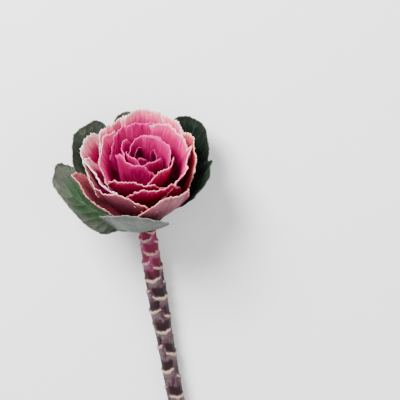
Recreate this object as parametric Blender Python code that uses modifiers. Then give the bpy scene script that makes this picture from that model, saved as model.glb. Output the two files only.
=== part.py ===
"""A cut stem of flowering kale lying on its side: a bare purple stem, a cup of green outer leaves that
clasp its top, and the pink rosette inside them. Metres, +Z up, with the surface it lies on at z = 0."""

import math
import random
from dataclasses import dataclass

import bmesh
import bpy
from mathutils import Matrix, Vector

MM = 0.001

# The head's frame: its axis rises from the floor, and turns a little from the line of the stem.
HEAD_BASE = Vector((3.2, 88.2, 26.21)) * MM
HEAD_RISE = math.radians(35)
HEAD_TURN = math.radians(10.2)

# The stem leaves the head down its axis and bends to lie along the floor, held up by its cut end.
STEM_TOP = 3.0 * MM
NECK = 15.0 * MM
STEM_END = Vector((-2.6, -160.2, 6.18)) * MM
STEM_RISE = math.radians(4.5)
NECK_PULL = 30.0 * MM
END_PULL = 95.0 * MM
STEM_RADII = ((0.0, 5.6), (0.14, 5.9), (0.23, 6.8), (0.32, 6.9), (0.41, 5.9), (0.6, 5.8), (1.0, 6.2))
STEM_SIDES = 14
STEM_RINGS = 100
PATH_SAMPLES = 240

# Leaf scars climb the stem in a spiral, closer together towards the head.
SCAR_FIRST = 19.0 * MM
SCAR_GAP = 2.8 * MM
SCAR_GAP_GROWTH = 0.028
SCAR_TURN = math.radians(137.5)
SCAR_HALF_WIDTH = math.radians(74)
SCAR_SAG = 2.6 * MM
SCAR_RAISE = 1.0 * MM
SCAR_SWELL = 4.5 * MM
SCAR_LEDGE = 2.2 * MM
SCAR_CLEAR = 8.0 * MM

# The core that the pink leaves grow from, as radius and height up the head's axis.
CORE_PROFILE = ((0.0, 3.4), (7.0, 3.4), (10.6, 7.0), (11.0, 12.0), (9.5, 22.0), (6.5, 34.0), (0.0, 41.0))
CORE_SIDES = 20

# The outer leaves clasp the stem by thick stalks, and thin out to a blade.
GREEN_SPREAD = (0.12, 0.85)
STALK_THICKNESS = 3.0 * MM
BLADE_SHARE = 0.3

# The pink leaves start inside the core, each a step higher than the one outside it.
PINK_SUNK = 1.6
PINK_SPREAD = (0.3, 0.62)
PINK_FIRST_ROOT = 7.0
PINK_ROOT_STEP = 0.9
PINK_THICKNESS = 0.8 * MM

# Every margin waves in and out.
WAVES = 6
WAVE_HEIGHT = 1.2


@dataclass(frozen=True)
class Leaf:
    """One leaf in the head's frame. Angles in degrees, lengths in millimetres."""

    azimuth: float  # where its midrib points: 0 the head's right, 90 its back, 270 its front
    rim_radius: float
    rim_height: float
    half_width: float
    flare: float = 0.2  # how far the rim leans out, as the tangent of its angle
    skew: float = 2.4  # how much further out its edge stands on one side than on the other
    droop: float = 0.06  # how much lower the margin is at the sides
    belly: float = 0.62  # how soon it spreads above its root
    rise: float = 0.1  # how soon it climbs above its root
    cup: float = 1.3  # its cross-section's radius over its distance from the axis
    roll: float = 2.0  # how far the margin rolls out


# Each outer leaf's root, as distance from the head's axis and height, and its shape, from the innermost out.
GREEN = (
    ((6.4, -3.0), Leaf(99, 47.4, 50, 27, skew=-0.8, belly=0.6)),
    ((6.5, -7.5), Leaf(143, 55.3, 47.5, 30, flare=0.3, skew=0.3, belly=0.54)),
    ((6.6, -9.0), Leaf(257, 40.5, 37, 32, droop=0.1, skew=3.2, belly=0.44, rise=0.12)),
    ((7.2, -10.5), Leaf(1, 44.5, 43, 20, flare=0.4, skew=-2.8, belly=0.25, rise=0.3)),
    ((6.5, -12.0), Leaf(49, 50.85, 50, 27, skew=0.2, belly=0.48)),
    ((6.8, -14.5), Leaf(188, 62.5, 38.5, 37, flare=0.6, skew=2.2, droop=0.0, belly=0.38, rise=0.14)),
)

# From the outermost leaf to the heart.
PINK = (
    Leaf(203, 46.5, 43, 30, flare=0.4, skew=3.5),
    Leaf(231, 38, 50, 36, flare=0.3, skew=4.0, droop=-0.08),
    Leaf(295, 38, 49.5, 26, flare=0.3),
    Leaf(24, 33.5, 52.5, 25, flare=0.2, skew=-3.5),
    Leaf(160, 44.2, 51, 25, flare=0.3),
    Leaf(70, 38.5, 57, 22, flare=0.15, skew=-1.0),
    Leaf(95, 38.5, 60, 24, flare=0.15),
    Leaf(128, 36.5, 57.5, 23, flare=0.2),
    Leaf(208, 36, 55, 33, flare=0.25, skew=3.0),
    Leaf(355, 27.5, 55, 26, flare=0.2, skew=-2.5),
    Leaf(280, 30, 53, 26, flare=0.2),
    Leaf(58, 29.5, 57.5, 25, flare=0.1, skew=0.0),
    Leaf(163, 28.5, 57, 28, flare=0.15, skew=2.0),
    Leaf(112, 27, 58.5, 25, flare=0.1),
    Leaf(256, 26.5, 56, 26, flare=0.15),
    Leaf(315, 20, 58, 21, flare=0.1),
    Leaf(230, 15.5, 62, 21, flare=0.1),
    Leaf(45, 16, 57.5, 20, flare=0.1, skew=-2.0),
    Leaf(163, 16, 58, 17, flare=0.05),
    Leaf(95, 13.5, 59, 17, flare=0.05),
    Leaf(213, 10.5, 60, 13, flare=0.0),
    Leaf(302, 10.5, 59, 12, flare=0.0),
    Leaf(140, 6.5, 57, 7, flare=-0.1, skew=1.0),
    Leaf(15, 6.5, 57, 8, flare=-0.1, skew=1.0),
    Leaf(250, 4, 56, 6, flare=-0.15, skew=0.5),
)


def smooth(x):
    """0 below 0, 1 above 1 and an even S between them."""
    x = min(max(x, 0.0), 1.0)
    return x * x * (3 - 2 * x)


def along(table, x):
    """The value at x of a table of (x, value) pairs, straight between them."""
    for (x0, y0), (x1, y1) in zip(table, table[1:]):
        if x <= x1:
            return y0 + (y1 - y0) * (x - x0) / (x1 - x0)
    return table[-1][1]


def bezier(points, t):
    """The point at t of the cubic curve with these four control points."""
    a, b, c, d = points
    s = 1 - t
    return a * s**3 + b * (3 * s * s * t) + c * (3 * s * t * t) + d * t**3


def head_matrix():
    """The head's frame: X its right, Y its back, Z its axis."""
    plan = Vector((math.sin(HEAD_TURN), math.cos(HEAD_TURN), 0))
    right = Vector((math.cos(HEAD_TURN), -math.sin(HEAD_TURN), 0))
    axis = plan * math.cos(HEAD_RISE) + Vector((0, 0, math.sin(HEAD_RISE)))
    back = axis.cross(right)
    turned = Matrix((right, back, axis)).transposed().to_4x4()
    return Matrix.Translation(HEAD_BASE) @ turned


HEAD = head_matrix()


def material(name, colour, roughness):
    """A plain surface of this colour."""
    made = bpy.data.materials.new(name)
    made.use_nodes = True
    shader = made.node_tree.nodes["Principled BSDF"]
    shader.inputs["Base Color"].default_value = (*colour, 1)
    shader.inputs["Roughness"].default_value = roughness
    shader.inputs["Metallic"].default_value = 0.0
    return made


def new_object(name, bm, finish, collection):
    """An object with this mesh and finish, linked to the collection."""
    mesh = bpy.data.meshes.new(name)
    bm.to_mesh(mesh)
    bm.free()
    mesh.materials.append(finish)
    made = bpy.data.objects.new(name, mesh)
    collection.objects.link(made)
    return made


def core_radius(height):
    """The core's radius at this height up the head's axis, in millimetres."""
    upper = [(h, r) for r, h in CORE_PROFILE[1:]]
    return along(upper, height)


def midrib(leaf, root, t):
    """Distance from the head's axis and height of the leaf's midrib at t, 0 at its root and 1 at its tip."""
    tip = Vector((leaf.rim_radius, leaf.rim_height))
    reach = tip - root
    belly = root + Vector((leaf.belly * reach.x + 1.5, leaf.rise * reach.y))
    shoulder = tip - Vector((leaf.flare, 1)) * 0.5 * reach.y
    return bezier((root, belly, shoulder, tip), t)


def leaf_sheet(leaf, root, spread, grid, seed):
    """The leaf's middle surface, with its thickness as weights: a grid rounded at the top, narrowed at the
    root and wrapped round the head's axis, then waved and rolled along its margin. spread holds its width
    at the root over its full width, and how far up it reaches that."""
    phase = random.Random(seed).uniform(0, 2 * math.pi)
    base, widest = spread
    bm = bmesh.new()
    bmesh.ops.create_grid(bm, x_segments=grid[0], y_segments=grid[1], size=1)
    weights = bm.verts.layers.deform.verify()
    offsets = {}
    for vert in bm.verts:
        x, y = vert.co.x, (vert.co.y + 1) / 2
        across = x * math.sqrt(1 - 0.45 * y**4)
        up = y * math.sqrt(1 - leaf.droop * x * x - 0.24 * x**6)
        half_width = leaf.half_width * (base + (1 - base) * smooth(up / widest))
        radius, height = midrib(leaf, root, up)
        bend = leaf.cup * max(radius, 2.0)
        angle = across * half_width / bend
        out = radius - bend * (1 - math.cos(angle))
        side = bend * math.sin(angle)
        edge = min((abs(x) ** 6 + y**6) ** (1 / 6), 1.0)
        wave = math.sin(WAVES * math.atan2(y, x) + phase)
        size = min(leaf.half_width / 26, 1.0)
        lift = size * (WAVE_HEIGHT * wave * edge**3 * smooth(up * 2)
                       + leaf.roll * smooth((edge - 0.6) / 0.4) ** 2 * smooth(up * 3))
        offsets[vert] = lift - leaf.skew * across * smooth(up * 2.5)
        stalk = max(0.0, 1 - up / 0.5) * max(0.0, 1 - (side / 7) ** 2)
        vert[weights][0] = BLADE_SHARE + (1 - BLADE_SHARE) * stalk
        vert.co = Vector((out, side, height)) * MM
    bm.normal_update()
    moves = [(vert, vert.normal * offset * MM) for vert, offset in offsets.items()]
    for vert, move in moves:
        vert.co += move
    bmesh.ops.triangulate(bm, faces=bm.faces)
    bmesh.ops.rotate(bm, verts=bm.verts, matrix=Matrix.Rotation(math.radians(leaf.azimuth), 3, "Z"))
    return bm


def solid_leaf(name, sheet, thickness, finish, collection):
    """The leaf as a closed blade in the head's place."""
    blade = new_object(name, sheet, finish, collection)
    blade.matrix_world = HEAD
    wall = blade.modifiers.new("Thickness", "SOLIDIFY")
    wall.offset = 0
    wall.thickness = thickness
    return blade


def outer_leaves(finish, collection):
    """The green outer leaves, each its own piece with a thick stalk."""
    for number, (root, leaf) in enumerate(GREEN, 1):
        sheet = leaf_sheet(leaf, Vector(root), GREEN_SPREAD, (10, 10), number)
        blade = solid_leaf(f"outer_leaf_{number}", sheet, STALK_THICKNESS, finish, collection)
        blade.vertex_groups.new(name="Thickness")
        blade.modifiers["Thickness"].vertex_group = "Thickness"


def turned(profile, sides):
    """A closed solid turned about Z, from (radius, height) pairs in millimetres that start and end on it."""
    bm = bmesh.new()
    verts = [bm.verts.new((radius * MM, 0, height * MM)) for radius, height in profile]
    edges = [bm.edges.new(pair) for pair in zip(verts, verts[1:])]
    bmesh.ops.spin(bm, geom=verts + edges, cent=(0, 0, 0), axis=(0, 0, 1), angle=2 * math.pi, steps=sides,
                   use_merge=True)
    bmesh.ops.remove_doubles(bm, verts=bm.verts, dist=0.01 * MM)
    bmesh.ops.recalc_face_normals(bm, faces=bm.faces)
    return bm


def fill_hollows(mesh):
    """Removes every shell of the mesh but its largest, such as round a space shut in between leaves."""
    bm = bmesh.new()
    bm.from_mesh(mesh)
    shells = []
    unseen = set(bm.verts)
    while unseen:
        shell = [unseen.pop()]
        for vert in shell:
            near = {edge.other_vert(vert) for edge in vert.link_edges} & unseen
            unseen -= near
            shell.extend(near)
        shells.append(shell)
    shells.sort(key=len)
    for shell in shells[:-1]:
        bmesh.ops.delete(bm, geom=shell, context="VERTS")
    bm.to_mesh(mesh)
    bm.free()


def rosette(finish, collection):
    """The pink leaves and the core they grow from, joined in one body."""
    core = new_object("rosette", turned(CORE_PROFILE, CORE_SIDES), finish, collection)
    core.matrix_world = HEAD
    group = bpy.data.collections.new("Rosette blades")
    bpy.context.scene.collection.children.link(group)
    for number, leaf in enumerate(PINK):
        root_height = PINK_FIRST_ROOT + number * PINK_ROOT_STEP
        root = Vector((core_radius(root_height) - PINK_SUNK, root_height))
        grid = (7, 5) if leaf.half_width > 18 else (5, 5)
        sheet = leaf_sheet(leaf, root, PINK_SPREAD, grid, 100 + number)
        solid_leaf(f"blade_{number}", sheet, PINK_THICKNESS, finish, group)
    join = core.modifiers.new("Join blades", "BOOLEAN")
    join.operation = "UNION"
    join.operand_type = "COLLECTION"
    join.collection = group
    join.solver = "MANIFOLD"
    bpy.context.view_layer.update()
    graph = bpy.context.evaluated_depsgraph_get()
    joined = bpy.data.meshes.new_from_object(core.evaluated_get(graph))
    core.modifiers.clear()
    core.data = joined
    fill_hollows(joined)
    for blade in list(group.objects):
        bpy.data.objects.remove(blade)
    bpy.data.collections.remove(group)


class StemPath:
    """The stem's centreline, measured from its top in the head to its cut end."""

    def __init__(self):
        axis = HEAD.col[2].to_3d()
        top = HEAD_BASE + axis * STEM_TOP
        lead = STEM_END + Vector((0, math.cos(STEM_RISE), math.sin(STEM_RISE))) * END_PULL
        neck = top - axis * NECK
        controls = (neck, neck - axis * NECK_PULL, lead, STEM_END)
        self.points = [top]
        self.points += [bezier(controls, k / PATH_SAMPLES) for k in range(PATH_SAMPLES + 1)]
        self.stations = [0.0]
        for before, after in zip(self.points, self.points[1:]):
            self.stations.append(self.stations[-1] + (after - before).length)
        self.length = self.stations[-1]

    def at(self, distance):
        """The centre, and the sideways and upward directions across the stem, at this distance."""
        distance = min(max(distance, 0.0), self.length)
        k = next(i for i, s in enumerate(self.stations) if s >= distance and i > 0)
        share = (distance - self.stations[k - 1]) / (self.stations[k] - self.stations[k - 1])
        centre = self.points[k - 1].lerp(self.points[k], share)
        ahead = self.points[min(k + 1, len(self.points) - 1)] - self.points[max(k - 2, 0)]
        side = ahead.cross(Vector((0, 0, 1))).normalized()
        return centre, side, side.cross(ahead).normalized()


def scars(length):
    """Each leaf scar's distance down the stem and its angle round it."""
    found = []
    distance = SCAR_FIRST
    while distance < length - SCAR_CLEAR:
        found.append((distance, (len(found) * SCAR_TURN) % (2 * math.pi)))
        distance += SCAR_GAP + SCAR_GAP_GROWTH * distance
    return found


def scar_relief(all_scars, distance, angle):
    """How far the leaf scars raise the stem's surface here: a swelling below each scar's curved ledge."""
    raised = 0.0
    for place, turn in all_scars:
        away = (angle - turn + math.pi) % (2 * math.pi) - math.pi
        reach = abs(away) / SCAR_HALF_WIDTH
        if reach >= 1:
            continue
        below = distance - (place + SCAR_SAG * (1 - reach * reach) - SCAR_SAG)
        ramp = math.exp(-below / SCAR_SWELL) if below > 0 else smooth(1 + below / SCAR_LEDGE)
        raised = max(raised, SCAR_RAISE * ramp * smooth(2 * (1 - reach)))
    return raised


def stem(finish, collection):
    """The bare stem, swollen below each leaf scar."""
    path = StemPath()
    all_scars = scars(path.length)
    bm = bmesh.new()
    bmesh.ops.create_cone(bm, cap_ends=True, segments=STEM_SIDES, radius1=1, radius2=1, depth=1)
    long_edges = [e for e in bm.edges if abs(e.verts[0].co.z - e.verts[1].co.z) > 0.5]
    bmesh.ops.subdivide_edges(bm, edges=long_edges, cuts=STEM_RINGS)
    for vert in bm.verts:
        angle = math.atan2(vert.co.y, vert.co.x)
        distance = (0.5 - vert.co.z) * path.length
        centre, side, up = path.at(distance)
        radius = along(STEM_RADII, distance / path.length) * MM
        radius += scar_relief(all_scars, distance, angle)
        vert.co = centre + (side * math.cos(angle) + up * math.sin(angle)) * radius
    bmesh.ops.recalc_face_normals(bm, faces=bm.faces)
    made = new_object("stem", bm, finish, collection)
    made.data.shade_smooth()


def main():
    for old in list(bpy.data.objects):
        bpy.data.objects.remove(old)
    kale = bpy.data.collections.new("Flowering kale")
    bpy.context.scene.collection.children.link(kale)
    stem(material("Stem skin", (0.16, 0.05, 0.09), 0.5), kale)
    outer_leaves(material("Outer leaf green", (0.06, 0.13, 0.06), 0.5), kale)
    rosette(material("Rosette pink", (0.72, 0.14, 0.32), 0.5), kale)


main()
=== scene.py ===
"""The looks of a cut stem of flowering kale lying on a pale floor: a bare stem with pale scars, a
cup of green outer leaves that clasp its top, and the ruffled rosette of pink leaves inside them.

Everything is in metres with +Z up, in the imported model's frame. Sizes named in millimetres are
turned into metres by MM where a mesh is made.
"""

import logging
import math
import random
from dataclasses import dataclass
from enum import Enum

import bmesh
import bpy
from bmesh.types import BMesh, BMVert
from bpy.types import ID, Material, NodeSocket, Object
from mathutils import Matrix, Vector, noise

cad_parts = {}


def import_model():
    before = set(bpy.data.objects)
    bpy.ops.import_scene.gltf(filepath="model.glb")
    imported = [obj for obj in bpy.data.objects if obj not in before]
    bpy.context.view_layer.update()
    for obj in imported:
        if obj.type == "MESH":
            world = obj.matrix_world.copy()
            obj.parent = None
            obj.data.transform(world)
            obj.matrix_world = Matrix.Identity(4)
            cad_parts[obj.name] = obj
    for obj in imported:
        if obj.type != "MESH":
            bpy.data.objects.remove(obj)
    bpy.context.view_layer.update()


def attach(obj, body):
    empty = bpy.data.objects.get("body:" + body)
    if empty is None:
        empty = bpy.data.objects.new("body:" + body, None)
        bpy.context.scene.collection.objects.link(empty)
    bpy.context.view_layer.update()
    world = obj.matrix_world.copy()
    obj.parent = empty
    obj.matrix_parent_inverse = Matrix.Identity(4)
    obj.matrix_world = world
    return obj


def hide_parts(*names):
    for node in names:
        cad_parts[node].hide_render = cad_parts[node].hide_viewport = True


MM = 0.001
LOG = logging.getLogger("flowering_kale")

Colour = tuple[float, float, float]
Table = tuple[tuple[float, float], ...]
Number = NodeSocket | float
Shade = NodeSocket | Colour


def smooth(x: float) -> float:
    """Return 0 below 0, 1 above 1 and an even S between them."""
    x = min(max(x, 0.0), 1.0)
    return x * x * (3 - 2 * x)


def along(table: Table, x: float) -> float:
    """Read a table of (x, value) pairs, straight between them.

    Args:
        table: the pairs, in order of x.
        x: where to read it.

    Returns:
        The value at x, or the last one past the table's end.
    """
    for (x0, y0), (x1, y1) in zip(table, table[1:]):
        if x <= x1:
            return y0 + (y1 - y0) * (x - x0) / (x1 - x0)
    return table[-1][1]


def bezier(points: tuple[Vector, Vector, Vector, Vector], t: float) -> Vector:
    """Return the point at t of the cubic curve with these control points."""
    a, b, c, d = points
    s = 1 - t
    return a * s**3 + b * (3 * s * s * t) + c * (3 * s * t * t) + d * t**3


def measure_line(points: list[Vector]) -> list[float]:
    """Return how far along the line through these points each of them lies."""
    found = [0.0]
    for before, after in zip(points, points[1:]):
        found.append(found[-1] + (after - before).length)
    return found


def bell(x: float, width: float) -> float:
    """Return a rounded bump of height 1 at 0 that fades over this width."""
    return math.exp(-((x / width) ** 2))


def wobble(x: float, y: float, z: float) -> float:
    """Return a smooth random number from about -1 to 1, always the same at the same place."""
    return noise.noise(Vector((x, y, z)))


@dataclass(frozen=True)
class HeadFrame:
    """Where the head stands: X its right, Y its back, Z its axis. Millimetres and degrees."""

    base: tuple[float, float, float] = (3.2, 88.2, 26.21)
    rise: float = 35.0
    turn: float = 10.2

    @property
    def right(self) -> Vector:
        """The direction to the head's right, level with the floor."""
        turn = math.radians(self.turn)
        return Vector((math.cos(turn), -math.sin(turn), 0))

    @property
    def ahead(self) -> Vector:
        """The level direction that the head points in."""
        turn = math.radians(self.turn)
        return Vector((math.sin(turn), math.cos(turn), 0))

    @property
    def axis(self) -> Vector:
        """The head's axis, from the stem towards the heart."""
        rise = math.radians(self.rise)
        return self.ahead * math.cos(rise) + Vector((0, 0, math.sin(rise)))

    @property
    def matrix(self) -> Matrix:
        """The head's frame as a matrix, in metres."""
        back = self.axis.cross(self.right)
        turned = Matrix((self.right, back, self.axis)).transposed().to_4x4()
        return Matrix.Translation(Vector(self.base) * MM) @ turned


HEAD = HeadFrame()


@dataclass(frozen=True)
class Tone:
    """One leaf's colours in linear light, from its margin to its root, and how far in they reach.

    The powder is the bloom on its outer face, with its share as the fourth number.
    """

    lip: Colour
    pale: Colour
    flush: Colour
    # depth: in the pink leaves, painted shade at the root, deep between the leaves; in the green
    # ones, the veins' colour
    depth: Colour
    pale_reach: float
    flush_reach: float
    powder: tuple[float, float, float, float] = (0.0, 0.0, 0.0, 0.0)


class PinkTone(Enum):
    """The colours that the rosette's leaves come in, from its rim to its heart."""

    CREAM = Tone((1.00, 0.86, 0.80), (1.00, 0.38, 0.44), (0.42, 0.00, 0.10), (0.14, 0.00, 0.02),
                 8.5, 30.0)
    SHELL = Tone((1.00, 0.72, 0.68), (0.95, 0.18, 0.31), (0.42, 0.00, 0.11), (0.14, 0.00, 0.02),
                 7.0, 28.0)
    SALMON = Tone((0.90, 0.46, 0.38), (0.42, 0.06, 0.08), (0.30, 0.01, 0.03), (0.12, 0.00, 0.02),
                  7.0, 26.0, (0.22, 0.08, 0.07, 0.4))
    BLUSH = Tone((1.00, 0.44, 0.56), (0.80, 0.04, 0.24), (0.36, 0.00, 0.09), (0.12, 0.00, 0.02),
                 6.5, 26.0)
    PETAL = Tone((0.80, 0.07, 0.30), (0.60, 0.00, 0.20), (0.36, 0.00, 0.09), (0.12, 0.00, 0.02),
                 4.0, 26.0)
    ROSE = Tone((0.90, 0.28, 0.36), (0.44, 0.01, 0.09), (0.27, 0.00, 0.05), (0.09, 0.00, 0.01),
                2.6, 22.0)
    MAGENTA = Tone((0.70, 0.06, 0.28), (0.46, 0.00, 0.14), (0.30, 0.00, 0.07), (0.10, 0.00, 0.02),
                   2.4, 22.0)
    # the heart's own deep magenta, darkened further towards near black as painted shade deep in the
    # rosette
    HEART = Tone((0.50, 0.01, 0.14), (0.24, 0.00, 0.06), (0.06, 0.00, 0.01), (0.01, 0.00, 0.002),
                 1.8, 9.0)
    EMBER = Tone((0.95, 0.42, 0.42), (0.46, 0.05, 0.10), (0.34, 0.01, 0.03), (0.10, 0.00, 0.02),
                 4.0, 20.0, (0.20, 0.07, 0.10, 0.8))
    DUSK = Tone((0.72, 0.30, 0.30), (0.40, 0.12, 0.13), (0.26, 0.05, 0.06), (0.12, 0.02, 0.03),
                6.0, 24.0, (0.080, 0.078, 0.055, 0.85))


class GreenTone(Enum):
    """The colours that the outer leaves come in: margin, rim of the blade, blade and veins."""

    BRIGHT = Tone((0.20, 0.22, 0.17), (0.105, 0.118, 0.090), (0.058, 0.125, 0.054),
                  (0.17, 0.22, 0.15), 17.0, 34.0)
    GREY = Tone((0.15, 0.17, 0.13), (0.058, 0.076, 0.056), (0.022, 0.046, 0.030),
                (0.10, 0.12, 0.09), 9.0, 34.0)
    # the leaves on the head's right: the blade's green darkened to near black, as painted shade
    SHADED = Tone((0.05, 0.06, 0.05), (0.009, 0.015, 0.010), (0.003, 0.008, 0.005),
                (0.03, 0.05, 0.035), 5.0, 34.0)


@dataclass(frozen=True)
class Leaf:
    """One leaf in the head's frame. Angles in degrees, lengths in millimetres."""

    azimuth: float  # where its midrib points: 0 the head's right, 90 its back, 270 its front
    rim_radius: float
    rim_height: float
    half_width: float
    tone: PinkTone | GreenTone
    flare: float = 0.2  # how far the rim leans out, as the tangent of its angle
    skew: float = 2.4  # how much further out its edge stands on one side than on the other
    droop: float = 0.06  # how much lower the margin is at the sides
    belly: float = 0.62  # how soon it spreads above its root
    rise: float = 0.1  # how soon it climbs above its root
    cup: float = 1.3  # its cross-section's radius over its distance from the axis
    roll: float = 2.0  # how far the margin rolls out


@dataclass(frozen=True)
class Ruffle:
    """How finely a kind of leaf is cut and crinkled along its margin. Millimetres."""

    tooth: float  # from one tooth to the next
    tooth_depth: float
    lobe: float  # from one broad notch to the next
    lobe_depth: float
    pleat: float  # from one crinkle to the next
    pleat_height: float
    pleat_reach: float  # how far in from the margin the crinkles run
    puff: float  # how far the blade swells between its veins
    columns_per_tooth: int
    rows: int


class BladeShape:
    """The middle surface of one leaf, before its margin is waved. All sizes in millimetres."""

    WAVES = 6
    WAVE_HEIGHT = 1.2
    SIDE_ANGLE = math.radians(82)  # how far the margin runs, either way from straight up
    ARC_STEPS = 160
    SQUARENESS = 6  # of the outline, where 2 makes an ellipse
    TOP_TAPER = 0.45  # how much narrower the blade gets towards its top
    CORNER_DROP = 0.24  # how far its top corners are rounded off
    BELLY_LEAD = 1.5
    LEAST_RADIUS = 2.0
    FULL_HALF_WIDTH = 26  # a narrower leaf has smaller waves and teeth
    ROLL_START = 0.6  # how far out the margin begins to roll

    def __init__(self, leaf: Leaf, root: Vector, spread: tuple[float, float], seed: int) -> None:
        """Set out the leaf and measure its margin.

        Args:
            leaf: its shape.
            root: its root's distance from the head's axis and its height.
            spread: its width at the root over its full width, and how far up it reaches that.
            seed: what its waves start from.
        """
        self.leaf = leaf
        self.seed = seed
        self.spread = spread
        self.size = min(leaf.half_width / self.FULL_HALF_WIDTH, 1.0)
        self.phase = random.Random(seed).uniform(0, 2 * math.pi)
        tip = Vector((leaf.rim_radius, leaf.rim_height))
        reach = tip - root
        belly = root + Vector((leaf.belly * reach.x + self.BELLY_LEAD, leaf.rise * reach.y))
        shoulder = tip - Vector((leaf.flare, 1)) * 0.5 * reach.y
        self.midrib = (root, belly, shoulder, tip)
        steps = range(self.ARC_STEPS + 1)
        self.turns = [self.SIDE_ANGLE * (2 * k / self.ARC_STEPS - 1) for k in steps]
        self.arcs = measure_line([self.place(*self.margin(turn))[0] for turn in self.turns])

    @classmethod
    def margin(cls, turn: float) -> tuple[float, float]:
        """Return the margin's (across, up) place at this angle from straight up."""
        s, c = math.sin(turn), math.cos(turn)
        reach = (abs(s) ** cls.SQUARENESS + abs(c) ** cls.SQUARENESS) ** (-1 / cls.SQUARENESS)
        return s * reach, c * reach

    def place(self, x: float, y: float) -> tuple[Vector, float, float]:
        """Find a point of the blade.

        Args:
            x: how far across, -1 to 1.
            y: how far up, 0 to 1.

        Returns:
            The point, with X out from the head's axis, and how far across and up the leaf it is.
        """
        leaf = self.leaf
        base, widest = self.spread
        across = x * math.sqrt(1 - self.TOP_TAPER * y**4)
        up = y * math.sqrt(1 - leaf.droop * x * x - self.CORNER_DROP * x**6)
        half_width = leaf.half_width * (base + (1 - base) * smooth(up / widest))
        radius, height = bezier(self.midrib, up)
        bend = leaf.cup * max(radius, self.LEAST_RADIUS)
        angle = across * half_width / bend
        out = radius - bend * (1 - math.cos(angle))
        return Vector((out, bend * math.sin(angle), height)), across, up

    def turn_at(self, arc: float) -> float:
        """Return the angle at which the margin is this far along."""
        return along(tuple(zip(self.arcs, self.turns)), arc)

    def lift(self, x: float, y: float, across: float, up: float) -> float:
        """Return how far a point stands out from the plain blade.

        Args:
            x: how far across its grid it is, -1 to 1.
            y: how far up its grid it is, 0 to 1.
            across: how far across the leaf it is.
            up: how far up the leaf it is.

        Returns:
            The height of its waves and its rolled rim, with the leaf's skew.
        """
        leaf = self.leaf
        edge = (abs(x) ** self.SQUARENESS + abs(y) ** self.SQUARENESS) ** (1 / self.SQUARENESS)
        edge = min(edge, 1.0)
        wave = math.sin(self.WAVES * math.atan2(y, x) + self.phase)
        curl = smooth((edge - self.ROLL_START) / (1 - self.ROLL_START)) ** 2
        rolled = leaf.roll * curl * smooth(up * 3)
        waved = self.WAVE_HEIGHT * wave * edge**3 * smooth(up * 2)
        return self.size * (waved + rolled) - leaf.skew * across * smooth(up * 2.5)


@dataclass
class SheetPoint:
    """What the later steps need to know about one vertex of a leaf's grid."""

    vert: BMVert
    column: int
    row: int
    arc: float
    x: float
    y: float
    across: float
    up: float


class LeafLayers:
    """The attributes that a leaf's mesh carries for its thickness and its colours."""

    COLOURS = ("lip", "pale", "flush", "depth")
    REACHES = ("pale_reach", "flush_reach")

    def __init__(self, bm: BMesh) -> None:
        """Add the layers to an empty mesh."""
        self.weights = bm.verts.layers.deform.verify()
        self.colours = [bm.verts.layers.float_color.new(name) for name in self.COLOURS]
        self.margin = bm.verts.layers.float.new("margin")
        self.reaches = [bm.verts.layers.float.new(name) for name in self.REACHES]
        self.powder = bm.verts.layers.float_color.new("powder")
        self.blade = bm.loops.layers.uv.new("Blade")
        self.streaks = bm.loops.layers.uv.new("Streaks")


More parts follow.
